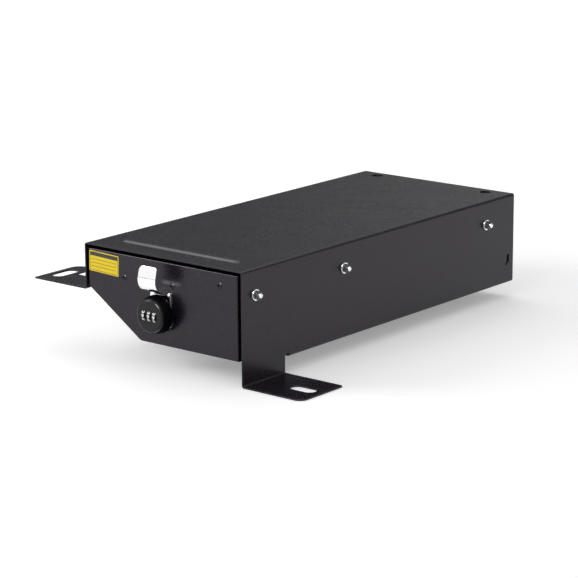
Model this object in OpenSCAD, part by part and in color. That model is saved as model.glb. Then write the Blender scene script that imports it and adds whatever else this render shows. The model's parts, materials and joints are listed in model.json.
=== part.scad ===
// Under-seat security drawer: a folded steel housing on two bolt-down feet, a drawer on
// ball-bearing slides, and a three-wheel combination cam lock that clamps a finger pull.
// Millimetres. X runs across, Y from the front to the rear, Z up. The origin is under the
// middle of the whole object, level with the underside of the lower, right foot.
// Inside the modules, x starts at the left wall's outer face, y at the housing's front edge
// and z at the right wall's bottom edge; in_frame() moves them to the origin.

/* [Housing] */
// Width of the housing over its side walls
housing_w = 200; // [180:1:240]
// Length of the housing from front edge to rear edge
housing_len = 446; // [420:1:520]
// Height of the right wall, from its bottom edge to the top face
housing_h = 95.5; // [90:0.5:115]
// Height of the left wall, from the left foot's underside to the top face
left_wall_h = 46.7; // [45.5:0.1:56]
// Thickness of the folded steel sheet
sheet_t = 1.5; // [1.3:0.1:2.2]
// Inside radius of every fold in the sheet
fold_r = 1; // [0.6:0.1:2]
// Slope of the cut-away lower left corner, below the horizontal
chamfer_angle = 33.7; // [28:0.1:38]
// Width of the two folded flanges that carry the bottom pan
flange_w = 14; // [12:0.5:20]
// Length of the notch that frees each fold behind the feet
relief_len = 6.7; // [3:0.1:12]
// Height of that notch at the bottom of the right wall
relief_h = 3.6; // [3:0.1:6]
// Height of the hook-shaped slot's upright part, near the rear of the right wall
hook_slot_h = 9.5; // [6:0.5:14]
// Width of its upright part
hook_slot_w = 4.2; // [3:0.1:6]
// Width of its bent lower end
hook_tail_w = 2.4; // [1.5:0.1:3]
// Reach of its bent lower end
hook_tail_len = 5; // [4:0.1:7]
// Slope of its bent lower end, below the horizontal
hook_tail_slope = 40; // [20:1:60]
// Distance from the housing's rear edge to the middle of its upright part
hook_slot_back = 10; // [8:0.5:30]
// Height of the foot of its upright part over the wall's bottom edge
hook_slot_up = 21.6; // [14:0.1:40]

/* [Feet] */
// Reach of each foot beyond its wall
foot_reach = 70; // [62:0.5:90]
// Length of each foot along the wall
foot_w = 62.3; // [60:0.1:80]
// Drop from the right wall's bottom edge to the right foot's underside
leg_drop = 15.9; // [8:0.1:40]
// Width of the bolt slots
slot_w = 14; // [8:0.5:16]
// Length of the right foot's bolt slot, which runs across
right_slot_len = 28; // [18:0.5:36]
// Distance from the right foot's outer edge to the middle of its slot
right_slot_in = 22; // [20:0.5:30]
// Length of the left foot's bolt slot, which runs front to rear
left_slot_len = 31; // [18:0.5:40]
// Distance from the left foot's outer edge to the middle of its slot
left_slot_in = 12.5; // [10:0.5:20]
// Distance from the housing's front edge to the middle of both slots
slot_y = 30.5; // [24:0.5:36]
// Distance from the left wall to the left foot's window
window_in = 15; // [10:0.5:20]
// Width of the strip between the left foot's slot and its window
window_strip = 3.8; // [2:0.1:8]
// Distance from the housing's front edge to the window
window_y = 34.5; // [24:0.5:40]
// Length of the window, front to rear
window_len = 21.5; // [10:0.5:22]
// Radius of the window's corners
window_r = 1.5; // [0.5:0.1:4]
// Corner radius at the front of the right foot
right_front_r = 8.5; // [1:0.5:12]
// Corner radius at the rear of the right foot
right_rear_r = 3; // [1:0.5:12]
// Corner radius at the rear of the left foot
left_rear_r = 11; // [1:0.5:12]
// Corner radius at the front of the left foot
left_front_r = 1; // [0.5:0.5:6]

/* [Top] */
// Distance from each side wall to the end of the pressed bead
bead_inset = 26; // [15:0.5:50]
// Width of the pressed bead
bead_w = 10; // [7:0.5:14]
// Height of the pressed bead over the top face
bead_h = 1.8; // [0.8:0.1:2.2]
// Distance from the housing's front edge to the bead's middle line
bead_y = 28.5; // [15:0.5:50]
// Diameter of the two rear holes in the top
rear_hole_d = 12; // [6:0.5:14]
// Distance from each side of the housing to a rear hole's centre
rear_hole_in = 28; // [15:0.5:50]
// Distance from the housing's rear edge to the rear holes' centres
rear_hole_back = 13; // [10:0.5:16]

/* [Pan and rear panel] */
// Thickness of the bottom pan
pan_t = 1.5; // [1:0.1:2]
// Thickness of the rear panel
rear_panel_t = 1.5; // [1:0.1:2]
// Depth of the rear panel's folded rim
rear_rim = 22; // [20:0.5:26]
// Distance from the housing's rear edge to the rear panel's face
rear_setback = 1; // [0:0.1:3]
// Diameter of a rivet's shank
rivet_d = 4; // [3:0.1:5]
// Diameter of a rivet's head
rivet_head_d = 7; // [6:0.1:9]
// Height of a rivet's head
rivet_head_h = 1; // [0.6:0.1:1.5]
// Rivets along each flange of the bottom pan
pan_rivet_count = 4; // [2:1:8]

/* [Slides] */
// Height of a slide
slide_h = 35; // [33:0.5:37]
// Thickness of a slide, housing wall to drawer wall
slide_t = 12.7; // [12:0.1:14]
// Distance from the top face to the slides' middle line
slide_down = 25.2; // [24:0.1:30]
// Distance from the drawer front's rim to the front end of the rails
rail_gap = 1.5; // [1:0.1:5]
// Space behind the rails
rail_rear_space = 34; // [30:1:80]
// How far the drawer opens
travel = 300; // [200:5:320]
// Thickness of the rails' webs
rail_t = 1.2; // [1:0.1:1.4]
// Least thickness of a rail behind its ball groove
rail_skin = 1.1; // [0.8:0.1:1.4]
// Depth of a ball groove
groove_depth = 1; // [0.6:0.1:1.2]
// Diameter of a ball
ball_d = 4.76; // [4:0.01:5]
// Running clearance of a ball in its groove
ball_clear = 0.07; // [0.03:0.01:0.1]
// Distance from ball to ball along the cage
ball_pitch = 11.5; // [8:0.5:16]
// Thickness of the ball cages
cage_t = 0.8; // [0.6:0.1:1]
// Gap between a cage and the rails beside it
cage_gap = 0.5; // [0.4:0.1:0.7]
// Thickness of the stop tabs on the rails
stop_t = 1; // [0.8:0.1:2]
// Gap left at each stop at the ends of the travel
stop_gap = 0.3; // [0.2:0.05:0.6]

/* [Slide fasteners] */
// Diameter of the slide screws
screw_d = 5; // [4:0.1:6]
// Diameter of their countersunk heads
screw_head_d = 9; // [8:0.1:10]
// Depth of their countersunk heads
screw_head_h = 2; // [1.6:0.1:2.4]
// Length of screw that stands out of the side wall
screw_out = 7.4; // [6:0.1:12]
// Distance from the rails' front end to the first screw
first_screw = 7.6; // [6.5:0.1:30]
// Distance from the rails' front end to the second screw
second_screw = 141.7; // [100:0.1:200]
// Distance from the rails' rear end to the last screw
last_screw = 16.9; // [8:0.1:60]
// Diameter of the washers
washer_d = 11; // [10.5:0.1:14]
// Thickness of the washers
washer_t = 1; // [0.6:0.1:1.6]
// Width of the nuts across flats
nut_af = 8; // [7.5:0.1:10]
// Height of the nuts
nut_h = 3; // [2.4:0.1:4.5]

/* [Drawer] */
// Gap from the left wall's outer face to the drawer front
front_gap_left = 3.1; // [2.7:0.1:6]
// Gap from the right wall's outer face to the drawer front
front_gap_right = 6.8; // [3.5:0.1:7.5]
// Gap from the top face to the drawer front
front_gap_top = 4.9; // [3.5:0.1:6]
// Height of the drawer front's bottom edge over the right wall's bottom edge
front_bottom = 7.9; // [6:0.1:12]
// Gap between the sloping edges of the housing and of the drawer front
front_gap_slope = 5.4; // [4.5:0.1:8]
// Distance from the housing's front edge back to the drawer front's face
front_recess = 1.5; // [0:0.1:4]
// Thickness of the drawer front
front_t = 2; // [1.5:0.1:2.5]
// Outside radius of the drawer front's folded edges
front_edge_r = 1.6; // [0.6:0.1:2]
// Depth of the drawer front's folded rim
front_rim = 9; // [6:0.5:12]
// Thickness of the tray's sheet
tray_t = 1.5; // [1:0.1:2]
// Clearance between the tray and the drawer front's rim
tray_gap = 0.4; // [0.3:0.05:1]
// Distance from the top face to the tray's top edge
tray_down = 9.5; // [8:0.1:16]
// Space between the tray's rear wall and the housing's rear edge
tray_rear_space = 26; // [24:0.5:60]
// Width of the lip folded inward along the tray's top edge
tray_lip = 5; // [3:0.5:8]
// Distance of the left rivet from the drawer front's left edge
left_rivet_in = 47.1; // [45:0.1:55]
// Distance of the middle rivet to the right of the lock's axis
middle_rivet_side = 13.7; // [13:0.1:30]
// Distance of the right rivet from the drawer front's right edge
right_rivet_in = 22.2; // [12:0.1:40]
// Depth of the left rivet below the drawer front's top edge
left_rivet_down = 22.9; // [14:0.1:30]
// Depth of the middle rivet below the drawer front's top edge
middle_rivet_down = 22.3; // [14:0.1:24]
// Depth of the right rivet below the drawer front's top edge
right_rivet_down = 12.3; // [10:0.1:40]
// Diameter of the hollow in each front rivet
rivet_hollow_d = 2.4; // [1.5:0.1:3]

/* [Finger pull] */
// Width of the finger pull's plate, which the lock clamps
pull_w = 25.4; // [25:0.1:32]
// Width of the strip bent out of the plate, with the grip at its end
grip_w = 22; // [18:0.1:25]
// Thickness of the finger pull's strip
pull_t = 1.5; // [1:0.1:2]
// Height over the lock's axis where the strip leaves the plate
pull_fold_up = 17.4; // [17:0.1:20]
// Height over the lock's axis of the plate's two ears beside the strip
pull_ear_up = 21; // [20:0.1:23]
// Length of the plate below the lock's axis
pull_below = 13; // [11:0.5:15]
// Inside radius of the fold at the plate
pull_fold_r = 1; // [0.5:0.1:2]
// Rise of the strip's run out from the plate
pull_rise = 24; // [20:1:28]
// Length of that run
pull_run = 11.6; // [8:0.1:14]
// Inside radius of the curve up to the grip
pull_curve_r = 11.7; // [8:0.1:13]
// How far the grip leans back past the vertical
pull_lean = 14; // [4:1:18]
// Height of the grip's top edge over the lock's axis
pull_top_up = 48.7; // [44:0.1:50]
// Radius of the grip's top corners
pull_corner_r = 5; // [2:0.5:10]

/* [Lock] */
// Distance of the lock to the right of the housing's middle line
lock_shift = -2; // [-20:0.5:20]
// Depth of the lock's axis below the drawer front's top edge
lock_down = 50.3; // [47:0.1:50.5]
// Diameter of the lock's knob at its rim, near the drawer front
knob_d = 37.2; // [36:0.1:38]
// Length of the knob's straight rim
knob_rim = 4.4; // [3:0.1:6]
// Diameter of the knob's face, to which it narrows from its rim
knob_face_d = 31.4; // [29:0.1:32]
// Distance from the drawer front's face to the knob's face
knob_out = 18; // [17.5:0.1:19]
// Radius of the edge round the knob's face
knob_edge_r = 2; // [0.5:0.1:3]
// Radius of the rim's rear edge
knob_rear_r = 1; // [0.4:0.1:1.5]
// Gap between the knob and the finger pull
knob_gap = 2.6; // [2.2:0.1:2.8]
// Thickness of the knob's face at the windows
knob_face_t = 1.6; // [1.2:0.1:2]
// Diameter of the recess in the knob's rear
knob_recess_d = 25; // [24.5:0.1:26]
// Thickness of the spindle's disc
disc_t = 1.2; // [1:0.1:1.4]
// Diameter of the lock's threaded sleeve
sleeve_d = 18.8; // [16:0.1:19]
// Width of the sleeve across its two flats
sleeve_flats = 16; // [14:0.1:16]
// Distance from the drawer front's face to the sleeve's rear end
sleeve_reach = 21; // [16:0.5:30]
// Diameter of the lock's spindle
spindle_d = 11.9; // [10:0.1:12]
// Running clearance of the spindle in its sleeve
spindle_clear = 0.05; // [0.02:0.01:0.1]
// Width of the lock nut across flats
lock_nut_af = 24; // [22:0.5:26]
// Height of the lock nut
lock_nut_h = 4; // [3:0.5:6]
// Side of the square on which the cam sits
cam_square = 8; // [6:0.1:8]
// Thickness of the cam
cam_t = 2; // [1.5:0.1:3]
// Width of the cam
cam_w = 16; // [14:0.5:20]
// Distance from the lock's axis to the cam's tip
cam_reach = 45; // [42:0.5:48]
// How far the turned cam reaches up behind the strike
cam_catch = 8; // [4:0.5:10]
// Diameter of the cam screw's head
cam_screw_head_d = 10; // [9:0.1:12]
// Height of the cam screw's head
cam_screw_head_h = 3; // [2:0.1:4]
// Diameter of the cam screw
cam_screw_d = 4; // [3:0.1:5]
// Length of the cam screw's thread in the spindle
cam_screw_len = 9; // [5:0.5:14]
// Diameter of the two screws that hold the disc to the knob
knob_screw_d = 2; // [1.6:0.1:2.4]
// Distance of those screws from the lock's axis
knob_screw_r = 9.8; // [9:0.1:10.5]
// Length of those screws in the knob
knob_screw_len = 5; // [3:0.5:8]

/* [Number wheels] */
// Diameter of a number wheel
wheel_d = 13.6; // [13:0.1:13.8]
// Width of a number wheel
wheel_w = 4.2; // [3.6:0.1:4.4]
// Distance from wheel to wheel
wheel_pitch = 6.9; // [6.6:0.1:7.4]
// How far a wheel stands out of its window
wheel_out = 1.4; // [1:0.1:1.6]
// Height of a window
window_h = 9.3; // [8.9:0.1:10]
// Clearance beside a wheel
wheel_side_gap = 0.2; // [0.15:0.05:0.25]
// Clearance round a wheel
wheel_round_gap = 0.3; // [0.2:0.05:0.4]
// Diameter of the wheels' axle
axle_d = 3; // [2:0.1:4]
// Length of the axle beyond the outer wheels
axle_end = 2; // [1:0.1:2.5]
// Running clearance of the wheels on their axle
axle_clear = 0.05; // [0.02:0.01:0.1]
// Numbers on each wheel, with a thumb notch between neighbours
numbers = 10; // [6:1:12]
// Radius of a thumb notch
notch_r = 0.5; // [0.3:0.05:0.8]

/* [Strike] */
// Width of the latch strike
strike_w = 40; // [30:1:60]
// Thickness of the latch strike
strike_t = 2; // [1.5:0.1:3]
// Length of the strike's flange under the top
strike_flange = 20; // [12:0.5:30]
// Gap between the strike and the cam
strike_gap = 0.6; // [0.4:0.1:1.5]

/* [Label] */
// Width of the blank write-on label
label_w = 38.7; // [25:0.1:41]
// Height of the blank write-on label
label_h = 20.3; // [12:0.1:21]
// Thickness of the label
label_t = 0.25; // [0.2:0.01:0.5]
// Distance from the label to the flat's edges at the drawer front's corner
label_in = 0.3; // [0:0.1:2]
// Turn of the label out of level, right end down
label_tilt = 2; // [0:0.5:4]

/* [Hidden] */
$fn = 48;

// Overlap of a cutting shape past the face that it cuts
cut = 1;
// Radius of an edge that stays sharp
sharp = 0.01;
// Largest turn between two points of a curve that is drawn point by point
arc_step = 4;
// Radial clearance of a fixed pin, screw or rivet in its hole
fixed_clear = 0.05;
// Radial clearance of a washer on its screw
washer_clear = 0.15;
// Clearance round the lock's sleeve in the sheets that it passes through
sleeve_clear = 0.1;
// Radial and end clearance between the knob's group and the fixed sleeve
knob_clear = 0.3;

// Places in the housing
fold_out = sheet_t + fold_r;
left_under = housing_h - left_wall_h;
slope_at_wall = left_under * cos(chamfer_angle);
flange_y = foot_w + relief_len;
slide_z = housing_h - slide_down;
rear_face = housing_len - rear_setback;
rear_rim_y = rear_face - rear_rim;

// The sloping corner's line, moved inward by d: its x at a height, and its height at an x
function slope_x(d, z) = (slope_at_wall + d - z * cos(chamfer_angle)) / sin(chamfer_angle);
function slope_z(d, x) = (slope_at_wall + d - x * sin(chamfer_angle)) / cos(chamfer_angle);
// A cross-section with that corner cut away and its other corners clipped by k
function section(x0, x1, z0, z1, d, k = 0) = [
    [x0, z1 - k], [x0, slope_z(d, x0)], [slope_x(d, z0), z0], [x1 - k, z0],
    [x1, z0 + k], [x1, z1 - k], [x1 - k, z1], [x0 + k, z1]];

// Drawer front and tray
front_x0 = front_gap_left;
front_x1 = housing_w - front_gap_right;
front_z1 = housing_h - front_gap_top;
tray_x0 = sheet_t + slide_t;
tray_x1 = housing_w - tray_x0;
tray_y0 = front_recess + front_t;
tray_y1 = housing_len - tray_rear_space;
tray_z0 = front_bottom + front_t + tray_gap;
tray_z1 = housing_h - tray_down;
tray_d = front_gap_slope + front_t + tray_gap;

// Slides, measured from the housing wall's inner face and from the slide's middle line
rail_y = front_recess + front_rim + rail_gap;
rail_len = housing_len - rail_rear_space - rail_y;
groove_r = ball_d / 2 + ball_clear;
ball_z = slide_h / 2 - rail_skin - groove_r;
outer_lip_z = ball_z + groove_r - groove_depth;
inner_lip_z = ball_z - groove_r + groove_depth;
inner_low_z = ball_z - groove_r - rail_skin;
cage_u0 = rail_t + cage_gap;
cage_u1 = cage_u0 + cage_t;
inner_u0 = cage_u1 + cage_gap + cage_gap / 2;
outer_u1 = slide_t - rail_t - 2 * cage_gap;
ball_u = (inner_u0 + outer_u1) / 2;
cage_end_u = outer_u1 - cage_gap;
cage_len = rail_len - travel - 2 * (stop_t + stop_gap);
cage_y = rail_y + stop_t + stop_gap + travel / 2;
balls_in_row = floor((cage_len - ball_pitch) / ball_pitch) + 1;
screw_ys = [rail_y + first_screw, rail_y + second_screw, rail_y + rail_len - last_screw];
tray_rivet_ys = [rail_y + rail_len * 0.1, rail_y + rail_len * 0.5, rail_y + rail_len * 0.9];

// Lock, along Y
lock_x = housing_w / 2 + lock_shift;
lock_z = front_z1 - lock_down;
pull_face_y = front_recess - pull_t;
knob_rear_y = pull_face_y - knob_gap;
knob_face_y = front_recess - knob_out;
wheel_y = knob_face_y + wheel_d / 2 - wheel_out;
disc_y0 = wheel_y + wheel_d / 2 + wheel_round_gap;
disc_y1 = disc_y0 + disc_t;
sleeve_y0 = disc_y1 + knob_clear;
sleeve_y1 = front_recess + sleeve_reach;
nut_y = tray_y0 + tray_t;
cam_y = sleeve_y1 + knob_clear;
strike_y = cam_y - strike_gap - strike_t;
strike_bottom = lock_z + cam_reach - cam_catch;
window_width = wheel_w + 2 * wheel_side_gap;
pocket_h = wheel_d + 2 * wheel_round_gap;
axle_half = wheel_pitch + wheel_w / 2 + axle_end;

// Rivets through the drawer front, from left to right
front_rivet_places = [[front_x0 + left_rivet_in, front_z1 - left_rivet_down],
    [lock_x + middle_rivet_side, front_z1 - middle_rivet_down],
    [front_x1 - right_rivet_in, front_z1 - right_rivet_down]];

// Finger pull: how far its grip stands out, worked out along the bent strip
fold_centre = pull_t + pull_fold_r;
pull_out = fold_centre * (1 - sin(pull_rise)) + pull_run * cos(pull_rise)
    + pull_curve_r * (1 - sin(pull_rise)) + pull_t;

// Middle of the whole object, front to rear
foremost = front_recess - max(pull_out, knob_out + wheel_out);
middle_y = (foremost + housing_len) / 2;

module in_frame() {
    translate([-housing_w / 2, -middle_y, leg_drop]) children();
}

// Extrusions of a drawn outline along each axis
module along_x(x0, x1) {
    translate([x0, 0, 0]) rotate([90, 0, 90]) linear_extrude(x1 - x0) children();
}
module along_y(y0, y1) {
    translate([0, y1, 0]) rotate([90, 0, 0]) linear_extrude(y1 - y0) children();
}
module along_z(z0, z1) {
    translate([0, 0, z0]) linear_extrude(z1 - z0) children();
}
module rod_x(x0, x1, d) {
    translate([x0, 0, 0]) rotate([0, 90, 0]) cylinder(h = x1 - x0, d = d);
}
module rod_y(y0, y1, d) {
    translate([0, y0, 0]) rotate([-90, 0, 0]) cylinder(h = y1 - y0, d = d);
}

// The right-hand copy of what is drawn at the left wall
module on_right() {
    translate([housing_w, 0, 0]) mirror([1, 0, 0]) children();
}

// A ring's stretch between two angles, less than half a turn apart
module ring_part(r0, r1, a0, a1) {
    am = (a0 + a1) / 2;
    far = 2 * r1;
    intersection() {
        difference() {
            circle(r = r1);
            circle(r = r0);
        }
        polygon([[0, 0], far * [cos(a0), sin(a0)], 1.5 * far * [cos(am), sin(am)],
            far * [cos(a1), sin(a1)]]);
    }
}
module slot_shape(len, w) {
    square([len - w, w], center = true);
    for (side = [-1, 1]) translate([side * (len - w) / 2, 0]) circle(d = w);
}
// A rectangle from the origin whose four corners have their own radii, from lower left, turning left
module rounded_plate(w, h, radii) {
    corners = [[0, 0], [w, 0], [w, h], [0, h]];
    difference() {
        square([w, h]);
        for (i = [0:3]) {
            c = corners[i];
            r = radii[i];
            in = [c[0] == 0 ? 1 : -1, c[1] == 0 ? 1 : -1];
            difference() {
                translate(c + in * (r - cut) / 2) square(r + cut, center = true);
                translate(c + in * r) circle(r = r);
            }
        }
    }
}

// Housing
module shell_fold(x, z, a0) {
    translate([x, z]) ring_part(fold_r, fold_out, a0, a0 + 90);
}
module shell_arch(left_bottom, right_bottom) {
    wall_top = housing_h - fold_out;
    translate([0, left_bottom]) square([sheet_t, wall_top - left_bottom]);
    shell_fold(fold_out, wall_top, 90);
    translate([fold_out, housing_h - sheet_t]) square([housing_w - 2 * fold_out, sheet_t]);
    shell_fold(housing_w - fold_out, wall_top, 0);
    translate([housing_w - sheet_t, right_bottom]) square([sheet_t, wall_top - right_bottom]);
}
module left_foot() {
    outer = foot_reach - left_slot_in - slot_w / 2 - window_strip;
    difference() {
        along_z(left_under, left_under + sheet_t) difference() {
            translate([-foot_reach, 0]) rounded_plate(foot_reach + sheet_t - fold_out, foot_w,
                [left_front_r, sharp, sharp, left_rear_r]);
            translate([left_slot_in - foot_reach, slot_y]) rotate(90) slot_shape(left_slot_len, slot_w);
            translate([-outer, window_y]) rounded_plate(outer - window_in, window_len,
                [window_r, window_r, window_r, window_r]);
        }
    }
    along_y(0, foot_w) shell_fold(sheet_t - fold_out, left_under + fold_out, 270);
}
module right_foot() {
    inner = housing_w - sheet_t + fold_out;
    along_z(-leg_drop, sheet_t - leg_drop) difference() {
        translate([inner, 0]) rounded_plate(housing_w + foot_reach - inner, foot_w,
            [sharp, right_front_r, right_rear_r, sharp]);
        translate([housing_w + foot_reach - right_slot_in, slot_y]) slot_shape(right_slot_len, slot_w);
    }
    along_y(0, foot_w) shell_fold(inner, fold_out - leg_drop, 180);
}
module left_flange() {
    along_flange = [cos(chamfer_angle), -sin(chamfer_angle)];
    inward = [sin(chamfer_angle), cos(chamfer_angle)];
    start = [0, left_under];
    polygon([start, start + flange_w * along_flange, start + flange_w * along_flange + sheet_t * inward,
        [sheet_t, slope_z(sheet_t, sheet_t)]]);
}
module right_flange() {
    translate([housing_w - fold_out - flange_w, 0]) square([flange_w, sheet_t]);
    shell_fold(housing_w - fold_out, fold_out, 270);
}
// A shape's rounded ridge: a rod with a ball at each end, sunk so that only its crown shows
module bead_ridge(r, crown) {
    first = bead_inset + bead_w / 2;
    last = housing_w - first;
    translate([0, bead_y, crown - r]) {
        rod_x(first, last, 2 * r);
        for (x = [first, last]) translate([x, 0, 0]) sphere(r = r);
    }
}
module bead_cap(r, crown, floor_z) {
    intersection() {
        bead_ridge(r, crown);
        translate([bead_inset - bead_w, bead_y - bead_w, floor_z])
            cube([housing_w - 2 * bead_inset + 2 * bead_w, 2 * bead_w, 2 * bead_w]);
    }
}
module rear_holes(z0, z1) {
    for (x = [rear_hole_in, housing_w - rear_hole_in])
        translate([x, housing_len - rear_hole_back, z0]) cylinder(h = z1 - z0, d = rear_hole_d);
}
module hook_slot() {
    half = hook_slot_w / 2;
    translate([housing_len - hook_slot_back, hook_slot_up + half]) {
        translate([-half, 0]) square([hook_slot_w, hook_slot_h - half]);
        circle(d = hook_slot_w);
        rotate(180 + hook_tail_slope) translate([0, -hook_tail_w / 2])
            square([hook_tail_len, hook_tail_w]);
    }
}
module housing_shell() {
    bead_r = (pow(bead_w / 2, 2) + pow(bead_h, 2)) / (2 * bead_h);
    color([0.16, 0.16, 0.17]) in_frame() difference() {
        union() {
            along_y(0, foot_w) shell_arch(left_under + fold_out, fold_out - leg_drop);
            left_foot();
            right_foot();
            along_y(foot_w, flange_y) shell_arch(left_under, relief_h);
            along_y(flange_y, housing_len) {
                shell_arch(slope_z(sheet_t, sheet_t), fold_out);
                translate([0, left_under]) square([sheet_t, sheet_t]);
                left_flange();
                right_flange();
            }
            bead_cap(bead_r, housing_h + bead_h, housing_h - sheet_t);
        }
        bead_cap(bead_r - sheet_t, housing_h + bead_h - sheet_t, housing_h - sheet_t - cut);
        rear_holes(housing_h - sheet_t - cut, housing_h + cut);
        along_x(housing_w - sheet_t - cut, housing_w + cut) hook_slot();
        for (y = screw_ys) {
            translate([0, y, slide_z]) slide_screw_shape(fixed_clear);
            on_right() translate([0, y, slide_z]) slide_screw_shape(fixed_clear);
        }
        pan_rivet_spots() rivet_hole(sheet_t);
    }
}

// Bottom pan and rear panel
module bottom_pan() {
    x0 = sheet_t + cage_gap;
    x1 = housing_w - fold_out;
    low = sheet_t;
    high = sheet_t + pan_t;
    color([0.16, 0.16, 0.17]) in_frame() difference() {
        along_y(flange_y, rear_face) polygon([[x0, slope_z(low, x0)], [slope_x(low, low), low],
            [x1, low], [x1, high], [slope_x(high, high), high], [x0, slope_z(high, x0)]]);
        pan_rivet_spots() rivet_hole(sheet_t + pan_t);
    }
}
// Places of the pan's rivets: each spot's z axis points from the flange into the housing
module pan_rivet_spots() {
    first = flange_y + flange_w;
    last = rear_rim_y - flange_w;
    for (i = [0:pan_rivet_count - 1]) {
        y = first + (last - first) * i / (pan_rivet_count - 1);
        translate([housing_w - fold_out - flange_w / 2, y, 0]) children();
        translate([0, y, left_under]) rotate([0, chamfer_angle, 0])
            translate([flange_w / 2 + sheet_t / 2, 0, 0]) children();
    }
}
module rivet_hole(depth) {
    translate([0, 0, -cut]) cylinder(h = depth + 2 * cut, d = rivet_d + 2 * fixed_clear);
}
// A rivet through a stack of sheets from z = 0, with a low domed head at each end
module rivet(stack) {
    cylinder(h = stack, d = rivet_d);
    translate([0, 0, -rivet_head_h]) cylinder(h = rivet_head_h, d1 = rivet_head_d - 2 * rivet_head_h,
        d2 = rivet_head_d);
    translate([0, 0, stack]) cylinder(h = rivet_head_h, d1 = rivet_head_d,
        d2 = rivet_head_d - 2 * rivet_head_h);
}
module pan_rivets() {
    color([0.2, 0.2, 0.21]) in_frame() pan_rivet_spots() rivet(sheet_t + pan_t);
}
module rear_outline(inset) {
    low = sheet_t + pan_t + inset;
    polygon(section(sheet_t + inset, housing_w - sheet_t - inset, low, housing_h - sheet_t - inset,
        low, fold_r));
}
module rear_panel() {
    color([0.15, 0.15, 0.16]) in_frame() difference() {
        along_y(rear_rim_y, rear_face) rear_outline(0);
        along_y(rear_rim_y - cut, rear_face - rear_panel_t) rear_outline(rear_panel_t);
        rear_holes(housing_h - sheet_t - rear_panel_t - cut, housing_h);
    }
}

// Latch strike, welded under the top
module latch_strike() {
    color([0.15, 0.15, 0.16]) in_frame() along_x(lock_x - strike_w / 2, lock_x + strike_w / 2) {
        top = housing_h - sheet_t;
        translate([strike_y, strike_bottom]) square([strike_t, top - strike_bottom]);
        translate([strike_y, top - strike_t]) square([strike_flange, strike_t]);
    }
}

// Slides, drawn at the left wall
module slide_place() {
    translate([sheet_t, 0, slide_z]) children();
}
module ball_grooves() {
    for (side = [-1, 1]) translate([ball_u, side * ball_z]) circle(r = groove_r);
}
module lip_pair(u0, u1, z0, z1) {
    for (side = [0, 1]) mirror([0, side]) translate([u0, z0]) square([u1 - u0, z1 - z0]);
}
module outer_rail() {
    stop_y = rail_y + rail_len + stop_gap;
    slide_place() difference() {
        union() {
            along_y(rail_y, rail_y + rail_len) difference() {
                union() {
                    translate([0, -slide_h / 2]) square([rail_t, slide_h]);
                    lip_pair(0, outer_u1, outer_lip_z, slide_h / 2);
                }
                ball_grooves();
            }
            along_y(rail_y + rail_len, stop_y + stop_t)
                translate([0, -inner_low_z]) square([rail_t, 2 * inner_low_z]);
            along_y(stop_y, stop_y + stop_t)
                translate([0, -inner_low_z]) square([slide_t - cage_gap, 2 * inner_low_z]);
            along_y(rail_y, rail_y + stop_t)
                translate([0, -inner_low_z / 2]) square([cage_u1, inner_low_z]);
        }
        for (y = screw_ys) translate([-sheet_t, y, 0]) slide_screw_shape(fixed_clear);
    }
}
module inner_rail() {
    rear = rail_y + rail_len;
    slide_place() difference() {
        union() {
            along_y(rail_y, rear) difference() {
                union() {
                    translate([slide_t - rail_t, -inner_lip_z]) square([rail_t, 2 * inner_lip_z]);
                    lip_pair(inner_u0, slide_t, inner_low_z, inner_lip_z);
                }
                ball_grooves();
            }
            along_y(rear - stop_t, rear) lip_pair(cage_u0, inner_u0 + rail_skin / 2, inner_low_z,
                (inner_low_z + inner_lip_z) / 2);
        }
        tray_rivet_spots() rivet_hole(rail_t);
    }
}
module ball_cage() {
    low = ball_z - cage_t / 2;
    high = ball_z + cage_t / 2;
    slide_place() difference() {
        along_y(cage_y, cage_y + cage_len) polygon([[cage_u0, -high], [cage_end_u, -high],
            [cage_end_u, -low], [cage_u1, -low], [cage_u1, low], [cage_end_u, low],
            [cage_end_u, high], [cage_u0, high]]);
        ball_spots() cylinder(h = 4 * cage_t, r = groove_r, center = true);
    }
}
module ball_spots() {
    margin = (cage_len - (balls_in_row - 1) * ball_pitch) / 2;
    for (side = [-1, 1], i = [0:balls_in_row - 1])
        translate([ball_u, cage_y + margin + i * ball_pitch, side * ball_z]) children();
}
module slide_balls() {
    slide_place() ball_spots() sphere(d = ball_d);
}

// Slide fasteners, drawn at the left wall with the screw's axis on y = 0, z = 0
module slide_screw_shape(clear) {
    head_x = sheet_t + rail_t;
    flare = clear > 0 ? cut / 2 : 0;
    rotate([0, -90, 0]) {
        translate([0, 0, -head_x]) cylinder(h = screw_head_h, d1 = screw_head_d + 2 * clear,
            d2 = screw_d + 2 * clear);
        translate([0, 0, -head_x - flare]) cylinder(h = flare + sharp, d = screw_head_d + 2 * clear);
        translate([0, 0, -head_x]) cylinder(h = head_x + screw_out, d = screw_d + 2 * clear);
    }
}
module slide_screw() {
    tip = screw_d / 5;
    rotate([0, -90, 0]) translate([0, 0, -sheet_t - rail_t]) {
        cylinder(h = screw_head_h, d1 = screw_head_d, d2 = screw_d);
        cylinder(h = sheet_t + rail_t + screw_out - tip, d = screw_d);
        translate([0, 0, sheet_t + rail_t + screw_out - tip])
            cylinder(h = tip, d1 = screw_d, d2 = screw_d - 2 * tip);
    }
}
module slide_washer() {
    rotate([0, -90, 0]) difference() {
        cylinder(h = washer_t, d = washer_d);
        translate([0, 0, -cut]) cylinder(h = washer_t + 2 * cut, d = screw_d + 2 * washer_clear);
    }
}
module slide_nut() {
    rotate([0, -90, 0]) translate([0, 0, washer_t]) difference() {
        cylinder(h = nut_h, d = nut_af / cos(30), $fn = 6);
        translate([0, 0, -cut]) cylinder(h = nut_h + 2 * cut, d = screw_d + 2 * fixed_clear);
    }
}
module at_slide_screws() {
    for (y = screw_ys) {
        translate([0, y, slide_z]) children();
        on_right() translate([0, y, slide_z]) children();
    }
}
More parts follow.
